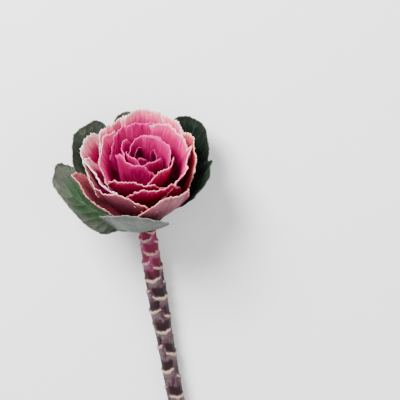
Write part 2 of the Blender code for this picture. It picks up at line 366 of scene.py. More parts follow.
class LeafSheet:
    """Draws one leaf as a fan of columns from its root to its margin, in the head's place."""

    LATERALS = 6.5  # side veins on each side of the midrib
    LATERAL_CLIMB = 4.2  # how steeply they climb, counted in veins
    LATERAL_CURVE = 1.25
    ROW_CROWDING = 1.5  # how much closer together the rows are at the margin
    WAY_COLUMNS = 3  # how many columns either way give the margin's direction
    WAY_ROWS = 4
    TOOTH_SHIFT = 0.4
    TOOTH_MIDDLE = 0.7
    UNEVEN_LENGTH = 2.3
    CALM_ENDS = 4.4
    NOTCH_REACH = 4.0  # how far in the teeth bend the rows
    FOOT_SHADE = 16.0  # how much deeper in its colours a leaf's foot lies: painted shade on its lower sides, so that only its top margin shows pale
    FLOOR_GAP = 0.42  # half a leaf's thickness, which keeps its face off the floor
    SEED_STEP = 0.37  # between one leaf's streaks and the next one's
    STREAK_UNIT = 100.0

    def __init__(self, shape: BladeShape, ruffle: Ruffle) -> None:
        """Take a leaf's shape and how its margin is cut."""
        self.shape = shape
        self.ruffle = ruffle
        self.arc_length = shape.arcs[-1]
        teeth = max(4, round(self.arc_length / ruffle.tooth))
        self.columns = ruffle.columns_per_tooth * teeth
        arcs = [self.arc_length * k / self.columns for k in range(self.columns + 1)]
        self.turns = [shape.turn_at(arc) for arc in arcs]

    def notch(self, column: int, arc: float) -> float:
        """Return how far the margin stands out here, in teeth and broad notches."""
        ruffle, seed = self.ruffle, self.shape.seed
        tooth = abs(math.sin(math.pi * column / ruffle.columns_per_tooth + self.TOOTH_SHIFT))
        uneven = 0.7 + 0.6 * wobble(arc / self.UNEVEN_LENGTH, seed * 3.1, 4.0)
        teeth = ruffle.tooth_depth * uneven * (tooth - self.TOOTH_MIDDLE)
        lobes = wobble(arc / ruffle.lobe, seed * 1.7, 0.0)
        lobes += 0.5 * wobble(arc * 2.3 / ruffle.lobe, seed * 1.7, 9.0)
        share = arc / self.arc_length
        calm = smooth(self.CALM_ENDS * share) * smooth(self.CALM_ENDS * (1 - share))
        return calm * self.shape.size * (teeth + ruffle.lobe_depth * lobes)

    def spread_points(self, bm: BMesh) -> list[SheetPoint]:
        """Make the leaf's grid and lay it on the plain blade.

        Args:
            bm: the mesh that the leaf is added to.

        Returns:
            Its vertices with their places on the leaf.
        """
        shape, rows = self.shape, self.ruffle.rows
        made = bmesh.ops.create_grid(bm, x_segments=self.columns, y_segments=rows, size=1)
        points = []
        for vert in made["verts"]:
            share = (vert.co.x + 1) / 2
            row = round((vert.co.y + 1) / 2 * rows)
            column = round(share * self.columns)
            arc = share * self.arc_length
            t = 1 - (1 - row / rows) ** self.ROW_CROWDING
            mx, my = shape.margin(self.turns[column])
            x = (2 * share - 1) * (1 - t) + mx * t
            y = my * t
            vert.co, across, up = shape.place(x, y)
            points.append(SheetPoint(vert, column, row, arc, x, y, across, up))
        return points

    @staticmethod
    def push(bm: BMesh, points: list[SheetPoint], offsets: list[float]) -> None:
        """Move each point along the mesh's own normal by its offset."""
        bm.normal_update()
        moves = [point.vert.normal * offset for point, offset in zip(points, offsets)]
        for point, move in zip(points, moves):
            point.vert.co += move

    def measure(self, points: list[SheetPoint]) -> tuple[list[float], list[Vector]]:
        """Measure how far each point is from the margin, and find each column's way out.

        Args:
            points: the leaf's vertices.

        Returns:
            Each point's distance, and each column's direction in the blade, square to the margin.
        """
        places = {(point.column, point.row): point.vert.co.copy() for point in points}
        rows, last = self.ruffle.rows, self.columns
        distances: dict[tuple[int, int], float] = {}
        ways: list[Vector] = []
        for column in range(last + 1):
            edge = places[min(column + self.WAY_COLUMNS, last), rows]
            edge = edge - places[max(column - self.WAY_COLUMNS, 0), rows]
            outward = (places[column, rows] - places[column, rows - self.WAY_ROWS]).normalized()
            square = outward - outward.project(edge)
            ways.append(square.normalized())
            distance = 0.0
            distances[column, rows] = 0.0
            for row in range(rows, 0, -1):
                distance += (places[column, row] - places[column, row - 1]).length * square.length
                distances[column, row - 1] = distance
        return [distances[point.column, point.row] for point in points], ways

    def crinkle(self, point: SheetPoint, distance: float) -> float:
        """Return how far the crinkled margin and the blade between its veins stand out here."""
        ruffle, seed = self.ruffle, self.shape.seed
        fade = math.exp(-distance / ruffle.pleat_reach)
        fold = wobble(point.arc / ruffle.pleat, distance / 14, seed * 2.3)
        fine = wobble(point.arc * 2.4 / ruffle.pleat, distance / 7, seed * 5.9)
        height = ruffle.pleat_height * (1.6 * fold * fade + 0.7 * fine * fade**2)
        height *= self.shape.size
        lateral = self.LATERALS * point.y - self.LATERAL_CLIMB * abs(point.x) ** self.LATERAL_CURVE
        swell = abs(math.sin(math.pi * lateral)) * smooth(point.up * 2) * smooth(distance / 3)
        return height * smooth(point.up * 3) + ruffle.puff * swell

    def thickness(self, point: SheetPoint, distance: float, blade_share: float) -> float:
        """Return the leaf's thickness here as a share of its stalk's.

        Args:
            point: the place on the leaf.
            distance: how far it is from the margin.
            blade_share: the blade's thickness over the stalk's.

        Returns:
            1 in the stalk, and least at the margin.
        """
        side = abs(point.vert.co.y)
        stalk = max(0.0, 1 - point.up / 0.5) * max(0.0, 1 - (side / 7) ** 2)
        left = max(0.0, 1 - point.up)
        rib = left**0.8 * bell(side, 1.6 + 1.4 * left)
        thin = 0.55 + 0.45 * smooth(distance / 6)
        return blade_share * thin + (1 - blade_share) * min(1.0, stalk + 0.55 * rib)

    def add_to(self, bm: BMesh, layers: LeafLayers, blade_share: float) -> None:
        """Add the leaf to a mesh, waved, crinkled, measured and coloured.

        Args:
            bm: the mesh.
            layers: its attributes.
            blade_share: the blade's thickness over the stalk's.
        """
        shape = self.shape
        points = self.spread_points(bm)
        self.push(bm, points, [shape.lift(p.x, p.y, p.across, p.up) for p in points])
        distances, ways = self.measure(points)
        self.push(bm, points, [self.crinkle(p, d) for p, d in zip(points, distances)])
        for point, distance in zip(points, distances):
            fade = math.exp(-distance / self.NOTCH_REACH)
            point.vert.co += ways[point.column] * (self.notch(point.column, point.arc) * fade)
            point.vert[layers.weights][0] = self.thickness(point, distance, blade_share)
            self.colour(point, distance, layers)
        turn = Matrix.Rotation(math.radians(shape.leaf.azimuth), 4, "Z")
        place = HEAD.matrix @ Matrix.Scale(MM, 4) @ turn
        bmesh.ops.transform(bm, matrix=place, verts=[point.vert for point in points])
        for point in points:
            point.vert.co.z = max(point.vert.co.z, self.FLOOR_GAP * MM)

    def colour(self, point: SheetPoint, distance: float, layers: LeafLayers) -> None:
        """Give a vertex what its colours are worked out from.

        Args:
            point: the place on the leaf.
            distance: how far it is from the margin.
            layers: the mesh's attributes.
        """
        vert, tone = point.vert, self.shape.leaf.tone.value
        for layer, name in zip(layers.colours, layers.COLOURS):
            vert[layer] = (*getattr(tone, name), 1)
        vert[layers.powder] = tone.powder
        # the foot and lower sides are pushed deeper into the dark colours as painted shade
        vert[layers.margin] = distance + self.FOOT_SHADE * smooth(1 - point.up / 0.8)
        for layer, name in zip(layers.reaches, layers.REACHES):
            vert[layer] = getattr(tone, name)
        streak = point.arc / self.STREAK_UNIT + self.shape.seed * self.SEED_STEP
        for loop in vert.link_loops:
            loop[layers.blade].uv = (point.x, point.y)
            loop[layers.streaks].uv = (streak, distance / self.STREAK_UNIT)


class NodePainter:
    """Builds one material's nodes, with a method for each kind that the finishes use."""

    def __init__(self, name: str) -> None:
        """Start a material with its plain shader."""
        self.material = bpy.data.materials.new(name)
        self.material.use_nodes = True
        self.tree = self.material.node_tree
        self.shader = self.tree.nodes["Principled BSDF"]

    def node(self, kind: str, inputs: dict[str | int, Number | tuple[float, ...]],
             output: str | int = 0, **settings: str) -> NodeSocket:
        """Add a node.

        Args:
            kind: Blender's name for its kind.
            inputs: what goes into its inputs, by their names or places.
            output: which of its outputs is wanted.
            **settings: its own settings, by their names.

        Returns:
            That output.
        """
        made = self.tree.nodes.new(kind)
        for name, value in settings.items():
            setattr(made, name, value)
        for place, value in inputs.items():
            self.feed(made.inputs[place], value)
        return made.outputs[output]

    def feed(self, socket: NodeSocket, value: Number | tuple[float, ...]) -> None:
        """Link a socket into an input, or set the input's own value."""
        if isinstance(value, NodeSocket):
            self.tree.links.new(value, socket)
        elif socket.type == "RGBA":
            socket.default_value = (*value, 1)
        else:
            socket.default_value = value

    def math(self, operation: str, first: Number, second: Number = 0.0) -> NodeSocket:
        """Work out one step of arithmetic on numbers."""
        return self.node("ShaderNodeMath", {0: first, 1: second}, operation=operation)

    def plus(self, first: Number, second: Number) -> NodeSocket:
        """Add two numbers."""
        return self.math("ADD", first, second)

    def times(self, first: Number, second: Number) -> NodeSocket:
        """Multiply two numbers."""
        return self.math("MULTIPLY", first, second)

    def swing(self, pattern: NodeSocket, reach: float) -> NodeSocket:
        """Turn a pattern from 0 to 1 into one that swings this far in all, evenly round 0."""
        return self.times(self.math("SUBTRACT", pattern, 0.5), reach)

    def attribute(self, name: str, output: str = "Fac") -> NodeSocket:
        """Read an attribute of the mesh, as a number unless another output is named."""
        return self.node("ShaderNodeAttribute", {}, output, attribute_name=name)

    def shade(self, name: str) -> NodeSocket:
        """Read a colour attribute of the mesh."""
        return self.attribute(name, "Color")

    def uv(self, name: str) -> NodeSocket:
        """Read one of the mesh's own UV maps."""
        return self.node("ShaderNodeUVMap", {}, uv_map=name)

    def place(self) -> NodeSocket:
        """Read the point's place in the object's own coordinates."""
        return self.node("ShaderNodeTexCoord", {}, "Object")

    def part(self, vector: NodeSocket, axis: str) -> NodeSocket:
        """Read one of a place's three coordinates."""
        return self.node("ShaderNodeSeparateXYZ", {0: vector}, axis)

    def scaled(self, vector: NodeSocket, scale: tuple[float, ...],
               shift: tuple[float, ...] = (0, 0, 0)) -> NodeSocket:
        """Stretch and shift a set of coordinates."""
        return self.node("ShaderNodeMapping", {"Vector": vector, "Scale": scale, "Location": shift})

    def noise(self, vector: NodeSocket, scale: float = 1.0, detail: float = 2.0,
              roughness: float = 0.5, distortion: float = 0.0) -> NodeSocket:
        """Add a cloudy pattern from 0 to 1."""
        inputs = {"Vector": vector, "Scale": scale, "Detail": detail, "Roughness": roughness,
                  "Distortion": distortion}
        return self.node("ShaderNodeTexNoise", inputs, "Fac")

    def fit(self, value: NodeSocket, low: Number, high: Number,
            start: float = 0.0, end: float = 1.0) -> NodeSocket:
        """Ease a number from start to end as it goes from low to high."""
        inputs = {"Value": value, "From Min": low, "From Max": high, "To Min": start, "To Max": end}
        return self.node("ShaderNodeMapRange", inputs, interpolation_type="SMOOTHSTEP")

    def mix(self, share: Number, first: Shade, second: Shade) -> NodeSocket:
        """Mix two colours by this share of the second."""
        return self.node("ShaderNodeMix", {0: share, 6: first, 7: second}, 2, data_type="RGBA")

    def bump(self, height: NodeSocket, distance: float) -> None:
        """Raise the surface by this height of a pattern, in metres."""
        inputs = {"Height": height, "Strength": 1.0, "Distance": distance}
        self.feed(self.shader.inputs["Normal"], self.node("ShaderNodeBump", inputs))

    def finish(self, colour: Shade, roughness: Number, gloss: float) -> Material:
        """Wire the colour and roughness in.

        Args:
            colour: the base colour.
            roughness: the roughness, as a pattern or one number.
            gloss: how strongly the surface mirrors its surroundings, 0.5 being plain plastic.

        Returns:
            The finished material.
        """
        self.feed(self.shader.inputs["Base Color"], colour)
        self.feed(self.shader.inputs["Roughness"], roughness)
        self.feed(self.shader.inputs["Specular IOR Level"], gloss)
        return self.material


@dataclass(frozen=True)
class PinkFinish:
    """The rosette's leaves: pale lips that feather along fine veins into pink, and a dark root that
    is painted shade deep between the leaves.
    """

    name: str
    powdered: bool
    vein: Colour = (0.95, 0.14, 0.34)
    blush: Colour = (0.34, 0.00, 0.05)
    streak_length: float = 14.0
    hair_length: float = 6.0
    relief: float = 0.0006
    gloss: float = 0.12

    def build(self) -> Material:
        """Make the material."""
        paint = NodePainter(self.name)
        distance = paint.attribute("margin")
        reach = paint.attribute("pale_reach")
        streaks = paint.uv("Streaks")
        veins = paint.noise(paint.scaled(streaks, (60, 5, 1)), 1.0, 3.0, 0.6, 0.25)
        hairs = paint.noise(paint.scaled(streaks, (190, 8, 1)), 1.0, 2.0, 0.6, 0.2)
        clouds = paint.noise(paint.place(), 90.0, 2.0)
        feather = paint.plus(paint.swing(veins, self.streak_length),
                             paint.swing(hairs, self.hair_length))
        shifted = paint.plus(distance, feather)
        ragged = paint.plus(distance, paint.times(feather, 0.12))
        lip_reach = paint.plus(paint.times(reach, 0.28), 0.5)
        to_pale = paint.fit(ragged, paint.times(lip_reach, 0.25), paint.times(lip_reach, 1.1))
        to_flush = paint.fit(shifted, paint.times(reach, 0.1), paint.times(reach, 1.5))
        # painted shade: towards its root each leaf darkens into its depth colour, where the gaps
        # between the leaves lie in shade
        to_root_shade = paint.fit(shifted, paint.times(reach, 1.2), paint.attribute("flush_reach"))
        colour = paint.mix(to_pale, paint.shade("lip"), paint.shade("pale"))
        colour = paint.mix(to_flush, colour, paint.shade("flush"))
        colour = paint.mix(to_root_shade, colour, paint.shade("depth"))
        inner = paint.fit(distance, 4.0, 24.0, 1.0, 0.25)
        streaked = paint.times(paint.fit(hairs, 0.54, 0.70, 0.0, 0.30), inner)
        colour = paint.mix(streaked, colour, self.vein)
        colour = paint.mix(paint.fit(clouds, 0.40, 0.75, 0.0, 0.20), colour, self.blush)
        if self.powdered:
            dusted = paint.times(paint.attribute("powder", "Alpha"),
                                 paint.fit(ragged, 0.5, 6.0, 0.2, 1.0))
            dusted = paint.times(dusted, paint.fit(shifted, 8.0, 24.0, 1.0, 0.3))
            colour = paint.mix(dusted, colour, paint.shade("powder"))
        paint.bump(paint.plus(veins, paint.times(hairs, 0.6)), self.relief)
        return paint.finish(colour, paint.fit(veins, 0.3, 0.7, 0.40, 0.60), self.gloss)


@dataclass(frozen=True)
class GreenFinish:
    """The outer leaves: a waxy blade with a pale midrib and veins that fan to its margin."""

    name: str
    bloom: Colour
    bloom_share: float
    rib: Colour = (0.17, 0.12, 0.13)
    stalk: Colour = (0.16, 0.012, 0.06)
    shadow: Colour = (0.004, 0.008, 0.005)
    relief: float = 0.0005
    gloss: float = 0.10

    def build(self) -> Material:
        """Make the material."""
        paint = NodePainter(self.name)
        distance = paint.attribute("margin")
        reach = paint.attribute("pale_reach")
        streaks = paint.uv("Streaks")
        clouds = paint.noise(paint.place(), 60.0, 3.0, 0.6)
        fine = paint.noise(paint.place(), 420.0, 2.0, 0.6)
        fans = paint.noise(paint.scaled(streaks, (42, 3, 1)), 1.0, 3.0, 0.65, 0.6)
        hairs = paint.noise(paint.scaled(streaks, (130, 12, 1)), 1.0, 2.0, 0.6, 0.8)
        side = paint.math("ABSOLUTE", paint.part(paint.uv("Blade"), "X"))
        up = paint.part(paint.uv("Blade"), "Y")
        curve = paint.math("POWER", side, LeafSheet.LATERAL_CURVE)
        lateral = paint.math("SUBTRACT", paint.times(up, LeafSheet.LATERALS),
                             paint.times(curve, LeafSheet.LATERAL_CLIMB))
        lateral = paint.math("PINGPONG", paint.plus(lateral, paint.swing(clouds, 0.5)), 0.5)
        laterals = paint.times(paint.fit(lateral, 0.01, 0.10, 0.75, 0.0),
                               paint.fit(hairs, 0.35, 0.6, 0.3, 1.0))
        width = paint.times(paint.math("SUBTRACT", 1.15, up), 0.08)
        midrib = paint.fit(side, paint.times(width, 0.3), width, 1.0, 0.0)
        twigs = paint.plus(paint.fit(fans, 0.52, 0.66, 0.0, 0.60),
                           paint.fit(hairs, 0.54, 0.70, 0.0, 0.30))
        veins = paint.math("MAXIMUM", midrib, paint.math("MAXIMUM", laterals, twigs))
        ragged = paint.plus(distance, paint.swing(fans, 14.0))
        to_blade = paint.fit(ragged, paint.times(reach, 0.4), paint.times(reach, 1.5))
        colour = paint.mix(paint.fit(distance, 0.1, 1.1), paint.shade("lip"), paint.shade("pale"))
        colour = paint.mix(to_blade, colour, paint.shade("flush"))
        bloom = paint.times(paint.fit(clouds, 0.3, 0.7, 0.7, 1.0), self.bloom_share)
        colour = paint.mix(bloom, colour, self.bloom)
        vein = paint.mix(self.bloom_share, paint.shade("depth"), self.rib)
        colour = paint.mix(paint.times(veins, 0.6), colour, vein)
        to_stalk = paint.fit(paint.plus(up, paint.times(side, 0.2)), 0.10, 0.30, 1.0, 0.0)
        colour = paint.mix(paint.times(to_stalk, 0.9), colour, self.stalk)
        colour = paint.mix(paint.fit(fine, 0.42, 0.75, 0.0, 0.30), colour, self.shadow)
        paint.bump(paint.plus(veins, paint.times(fine, 0.25)), self.relief)
        return paint.finish(colour, paint.fit(clouds, 0.3, 0.7, 0.42, 0.60), self.gloss)


def add_object(name: str, data: ID) -> Object:
    """Put a new object in the scene."""
    made = bpy.data.objects.new(name, data)
    bpy.context.scene.collection.objects.link(made)
    return made


def add_mesh(name: str, bm: BMesh, *finishes: Material) -> Object:
    """Put an object in the scene with these materials, and use up the mesh that it is made of."""
    mesh = bpy.data.meshes.new(name)
    bm.to_mesh(mesh)
    bm.free()
    for finish in finishes:
        mesh.materials.append(finish)
    return add_object(name, mesh)


def link_piece(name: str, bm: BMesh, node: str, slot: str, *finishes: Material) -> Object:
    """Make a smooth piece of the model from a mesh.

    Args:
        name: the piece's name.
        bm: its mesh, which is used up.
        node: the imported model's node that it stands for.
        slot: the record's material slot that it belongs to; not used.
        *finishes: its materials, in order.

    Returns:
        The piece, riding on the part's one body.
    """
    piece = add_mesh(name, bm, *finishes)
    piece.data.shade_smooth()
    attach(piece, "root")
    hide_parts(node)
    return piece


@dataclass
class LeafGroup:
    """What the leaves of one kind share."""

    spread: tuple[float, float]  # the root's share of the full width, and where that is reached
    thickness: float  # of the stalk, in millimetres
    blade_share: float  # the blade's thickness over the stalk's
    ruffle: Ruffle
    leaves: tuple[Leaf, ...]

    def piece(self, name: str, node: str, slot: str, leaves: list[tuple[Leaf, Vector, int]],
              finishes: tuple[Material, Material]) -> Object:
        """Make a piece of one or more leaves and give them their thickness.

        Args:
            name: the piece's name.
            node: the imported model's node that it stands for.
            slot: the record's material slot that it belongs to.
            leaves: each leaf with its root's place and its seed.
            finishes: those of the leaves' outer faces and of their inner ones.

        Returns:
            The piece.
        """
        bm = bmesh.new()
        layers = LeafLayers(bm)
        for leaf, root, seed in leaves:
            shape = BladeShape(leaf, root, self.spread, seed)
            LeafSheet(shape, self.ruffle).add_to(bm, layers, self.blade_share)
        piece = link_piece(name, bm, node, slot, *finishes)
        piece.vertex_groups.new(name="Thickness")
        wall = piece.modifiers.new("Thickness", "SOLIDIFY")
        wall.offset = 0
        wall.thickness = self.thickness * MM
        wall.vertex_group = "Thickness"
        wall.material_offset = 1
        wall.material_offset_rim = 1
        return piece


@dataclass
class OuterLeaves(LeafGroup):
    """The green leaves that clasp the stem's top, each its own piece."""

    spread: tuple[float, float] = (0.12, 0.85)
    thickness: float = 3.0
    blade_share: float = 0.27
    ruffle: Ruffle = Ruffle(
        tooth=3.2, tooth_depth=0.55, lobe=11.0, lobe_depth=0.9, pleat=5.5, pleat_height=0.7,
        pleat_reach=5.0, puff=0.35, columns_per_tooth=4, rows=52)
    leaves: tuple[Leaf, ...] = (
        Leaf(99, 47.4, 50, 27, GreenTone.GREY, skew=-0.8, belly=0.6),
        Leaf(143, 55.3, 47.5, 30, GreenTone.GREY, flare=0.3, skew=0.3, belly=0.54),
        Leaf(257, 40.5, 37, 32, GreenTone.BRIGHT, droop=0.1, skew=3.2, belly=0.44, rise=0.12),
        Leaf(1, 44.5, 43, 20, GreenTone.SHADED, flare=0.4, skew=-2.8, belly=0.25, rise=0.3),
        Leaf(49, 50.85, 50, 27, GreenTone.SHADED, skew=0.2, belly=0.48),
        Leaf(188, 62.5, 38.5, 37, GreenTone.BRIGHT, flare=0.6, skew=2.2, droop=0.0, belly=0.38,
             rise=0.14),
    )
    roots: Table = ((6.4, -3.0), (6.5, -7.5), (6.6, -9.0), (7.2, -10.5), (6.5, -12.0), (6.8, -14.5))

    def build(self) -> list[Object]:
        """Make the leaves and dress them.

        Returns:
            The pieces, in the order of their nodes.
        """
        under = GreenFinish("Outer leaf underside", (0.120, 0.138, 0.132), 0.85).build()
        face = GreenFinish("Outer leaf face", (0.06, 0.08, 0.06), 0.03).build()
        made = []
        for number, (leaf, root) in enumerate(zip(self.leaves, self.roots), 1):
            node = f"outer_leaf_{number}"
            leaves = [(leaf, Vector(root), number)]
            made.append(self.piece(f"kale_{node}", node, "outer_leaf", leaves, (under, face)))
        return made


@dataclass(frozen=True)
class CoreFinish:
    """The core deep between the leaves, painted near black as the shade in the gaps between them.
    """

    name: str = "Rosette core"
    # near black: painted shade
    dark: Colour = (0.012, 0.000, 0.003)
    light: Colour = (0.05, 0.001, 0.01)
    relief: float = 0.0006

    def build(self) -> Material:
        """Make the material."""
        paint = NodePainter(self.name)
        clouds = paint.noise(paint.place(), 300.0, 3.0)
        paint.bump(clouds, self.relief)
        colour = paint.mix(paint.fit(clouds, 0.35, 0.7), self.dark, self.light)
        return paint.finish(colour, 0.55, 0.2)


@dataclass
class Rosette(LeafGroup):
    """The pink leaves, from the outermost to the heart, and the core that they grow from."""

    spread: tuple[float, float] = (0.3, 0.62)
    thickness: float = 0.8
    blade_share: float = 0.75
    sunk: float = 1.6  # how deep the leaves' roots stand in the core
    first_root: float = 7.0
    root_step: float = 0.9
    first_seed: int = 100
    core_sides: int = 48
    core_cuts: int = 5
    core_bump: float = 0.5
    core_bump_length: float = 4.0
    core: Table = (  # the radius and height of each corner of its outline
        (0.0, 3.4), (7.0, 3.4), (10.6, 7.0), (11.0, 12.0), (9.5, 22.0), (6.5, 34.0), (0.0, 41.0))
    rings: tuple[int, ...] = (4, 9, 15, 25)  # how many leaves there are up to each ring's end
    ruffle: Ruffle = Ruffle(
        tooth=2.1, tooth_depth=1.8, lobe=6.6, lobe_depth=2.9, pleat=3.4, pleat_height=0.9,
        pleat_reach=4.5, puff=0.12, columns_per_tooth=4, rows=26)
    leaves: tuple[Leaf, ...] = (
        Leaf(203, 46.5, 43, 30, PinkTone.DUSK, flare=0.4, skew=3.5),
        Leaf(229, 38.3, 50, 34.2, PinkTone.EMBER, flare=0.3, skew=4.1, droop=-0.08, cup=1.13),
        Leaf(295, 38, 49.5, 26, PinkTone.EMBER, flare=0.3, belly=0.76),
        Leaf(24, 35, 54, 25, PinkTone.SALMON, skew=-3.5),
        Leaf(160, 44.2, 51, 25, PinkTone.CREAM, flare=0.3),
        Leaf(70, 38.5, 57, 22, PinkTone.SHELL, flare=0.15, skew=-1.0),
        Leaf(95, 38.5, 60, 24, PinkTone.SHELL, flare=0.15),
        Leaf(128, 36.5, 57.5, 23, PinkTone.SHELL),
        Leaf(208, 36, 55, 33, PinkTone.CREAM, flare=0.25, skew=3.0, roll=3.2),
        Leaf(355, 27.5, 55, 26, PinkTone.BLUSH, skew=-2.5, roll=3.2),
        Leaf(280, 30, 53, 26, PinkTone.ROSE),
        Leaf(58, 29.5, 57.5, 25, PinkTone.BLUSH, flare=0.1, skew=0.0),
        Leaf(163, 28.5, 57, 28, PinkTone.BLUSH, flare=0.15, skew=2.0, roll=3.5),
        Leaf(112, 27, 58.5, 25, PinkTone.PETAL, flare=0.1),
        Leaf(256, 26.5, 56, 26, PinkTone.ROSE, flare=0.15),
        Leaf(315, 20, 58, 21, PinkTone.ROSE, flare=0.1),
        Leaf(230, 15.5, 62, 21, PinkTone.PETAL, flare=0.1),
        Leaf(45, 16, 57.5, 20, PinkTone.PETAL, flare=0.1, skew=-2.0),
        Leaf(163, 16, 58, 15.5, PinkTone.PETAL, flare=0.05, skew=4.4, roll=1.0),
        Leaf(95, 13.5, 59, 17, PinkTone.PETAL, flare=0.05),
        Leaf(213, 10.5, 60, 13, PinkTone.MAGENTA, flare=0.0),
        Leaf(302, 10.5, 59, 12, PinkTone.MAGENTA, flare=0.0, skew=-0.6),
        Leaf(140, 6.5, 57, 7, PinkTone.HEART, flare=-0.1, skew=1.0),
        Leaf(15, 6.5, 57, 8, PinkTone.HEART, flare=-0.1, skew=1.0),
        Leaf(250, 4, 56, 6, PinkTone.HEART, flare=-0.15, skew=0.5),
    )

    def core_radius(self, height: float) -> float:
        """Return the core's radius at this height up the head's axis."""
        return along(tuple((h, r) for r, h in self.core[1:]), height)

    def build_core(self, finish: Material) -> Object:
        """Turn the core that the leaves are rooted in.

        Args:
            finish: its material.

        Returns:
            The piece.
        """
        bm = bmesh.new()
        verts = [bm.verts.new((radius * MM, 0, height * MM)) for radius, height in self.core]
        edges = [bm.edges.new(pair) for pair in zip(verts, verts[1:])]
        bmesh.ops.subdivide_edges(bm, edges=edges, cuts=self.core_cuts)
        bmesh.ops.spin(bm, geom=bm.verts[:] + bm.edges[:], cent=(0, 0, 0), axis=(0, 0, 1),
                       angle=2 * math.pi, steps=self.core_sides, use_merge=True)
        bmesh.ops.remove_doubles(bm, verts=bm.verts, dist=0.01 * MM)
        for vert in bm.verts:
            bump = wobble(*vert.co / (self.core_bump_length * MM)) * self.core_bump * MM
            vert.co += Vector((vert.co.x, vert.co.y, 0)).normalized() * bump
        bmesh.ops.recalc_face_normals(bm, faces=bm.faces)
        bmesh.ops.transform(bm, matrix=HEAD.matrix, verts=bm.verts)
        return link_piece("kale_rosette_core", bm, "rosette", "rosette", finish)

    def build(self) -> list[Object]:
        """Make the rings of leaves and their core.

        Returns:
            The pieces, from the outside in.
        """
        under = PinkFinish("Rosette underside", True).build()
        face = PinkFinish("Rosette face", False).build()
        rooted = []
        for index, leaf in enumerate(self.leaves):
            height = self.first_root + index * self.root_step
            root = Vector((self.core_radius(height) - self.sunk, height))
            rooted.append((leaf, root, self.first_seed + index))
        made = [self.build_core(CoreFinish().build())]
        for ring, (start, end) in enumerate(zip((0, *self.rings), self.rings), 1):
            name = f"kale_rosette_ring_{ring}"
            made.append(self.piece(name, "rosette", "rosette", rooted[start:end], (under, face)))
        return made


@dataclass(frozen=True)
class Scar:
    """One leaf scar: how far down the stem it is, in millimetres, and the angle it faces."""

    distance: float
    turn: float


@dataclass(frozen=True)
class StemFinish:
    """The stem's skin: dusty purple, dark above each cream scar, and magenta at the neck."""

    name: str = "Stem skin"
    dust: Colour = (0.090, 0.064, 0.070)
    wine: Colour = (0.034, 0.007, 0.017)
    dark: Colour = (0.008, 0.001, 0.003)
    cream: Colour = (0.36, 0.25, 0.18)
    neck: Colour = (0.17, 0.010, 0.062)
    neck_light: Colour = (0.26, 0.060, 0.150)
    neck_dark: Colour = (0.15, 0.002, 0.028)
    relief: float = 0.0008

    def build(self) -> Material:
        """Make the material."""
        paint = NodePainter(self.name)
        grain = paint.noise(paint.scaled(paint.uv("Skin"), (26, 7, 1)), 1.0, 4.0, 0.65, 0.4)
        specks = paint.noise(paint.place(), 900.0, 2.0, 0.6)
        clouds = paint.noise(paint.place(), 240.0, 4.0, 0.65, 0.5)
        neck = paint.times(paint.attribute("neck"), paint.fit(clouds, 0.25, 0.6, 1.0, 0.75))
        dusty = paint.fit(paint.plus(grain, paint.times(clouds, 0.9)), 0.88, 1.18)
        dusty = paint.math("MAXIMUM", dusty, paint.times(paint.attribute("dust"), 0.8))
        colour = paint.mix(dusty, paint.mix(neck, self.wine, self.neck),
                           paint.mix(neck, self.dust, self.neck_light))
        shade = paint.plus(paint.attribute("shade"), paint.times(clouds, 0.7))
        dark = paint.mix(neck, self.dark, self.neck_dark)
        colour = paint.mix(paint.fit(shade, 0.55, 1.05), colour, dark)
        flecks = paint.plus(paint.swing(specks, 0.7), paint.swing(clouds, 0.9))
        scar = paint.fit(paint.plus(paint.attribute("scar"), flecks), 0.30, 0.72, 0.0, 0.92)
        colour = paint.mix(scar, colour, self.cream)
        paint.bump(paint.plus(grain, paint.times(specks, 0.5)), self.relief)
        return paint.finish(colour, paint.fit(grain, 0.3, 0.7, 0.42, 0.62), 0.2)


@dataclass(frozen=True)
class CutFinish:
    """The fresh cut: a moist green-white pith inside a pale ring of wood and a thin skin."""

    end: Vector
    radius: float
    name: str = "Stem cut"
    pith: Colour = (0.62, 0.66, 0.42)
    wood: Colour = (0.74, 0.70, 0.50)
    rind: Colour = (0.30, 0.32, 0.14)
    relief: float = 0.0003

    def build(self) -> Material:
        """Make the material."""
        paint = NodePainter(self.name)
        shifted = paint.scaled(paint.place(), (1, 0, 1), tuple(-self.end * Vector((1, 0, 1))))
        length = paint.node("ShaderNodeVectorMath", {0: shifted}, "Value", operation="LENGTH")
        grain = paint.noise(paint.place(), 900.0, 3.0)
        share = paint.plus(paint.math("DIVIDE", length, self.radius), paint.swing(grain, 0.08))
        colour = paint.mix(paint.fit(share, 0.58, 0.66), self.pith, self.wood)
        colour = paint.mix(paint.fit(share, 0.84, 0.90), colour, self.rind)
        paint.bump(grain, self.relief)
        return paint.finish(colour, 0.38, 0.5)


@dataclass(frozen=True)
class Band:
    """A band of one of a scar's marks, in millimetres, which fades towards the scar's ends."""

    below: float  # how far below the scar's own line its middle is
    width: float
    taper: float
    strength: float = 1.0

    def at(self, below: float, reach: float) -> float:
        """Return its strength this far below the scar's line and, 0 to 1, out to the scar's end."""
        faded = smooth(self.taper * (1 - reach))
        return self.strength * bell(below - self.below, self.width) * faded


